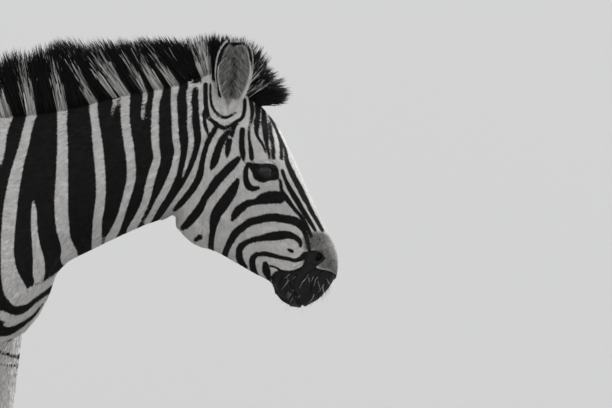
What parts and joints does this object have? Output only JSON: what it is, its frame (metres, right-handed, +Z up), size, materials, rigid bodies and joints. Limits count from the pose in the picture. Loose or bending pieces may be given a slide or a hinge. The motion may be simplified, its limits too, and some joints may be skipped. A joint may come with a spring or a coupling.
{
  "type": "zebra",
  "caption": "Life-size model of a standing plains zebra with black and white stripes, an upright mane and a tufted tail.",
  "frame": {"origin": "on the ground, under the middle of the animal's outer box", "axes": "+X is the way the animal faces, +Z is up, and its right side is at -Y"},
  "size_m": [2.0305, 0.5568, 1.484],
  "materials": {
    "coat": "short flat fur, striped black and off-white",
    "hair": "stiff upright hair",
    "eye": "wet and glossy",
    "hoof": "dry horn, finely grooved"
  },
  "bodies": {
    "root": {"head": "coat", "neck": "coat", "trunk": "coat", "foreleg_right": "coat", "foreleg_left": "coat", "hindleg_right": "coat", "hindleg_left": "coat", "ear_right": "coat", "ear_left": "coat", "mane": "hair", "forelock": "hair", "tail": "hair", "eye_right": "eye", "eye_left": "eye", "forehoof_right": "hoof", "forehoof_left": "hoof", "hindhoof_right": "hoof", "hindhoof_left": "hoof"}
  },
  "joints": []
}
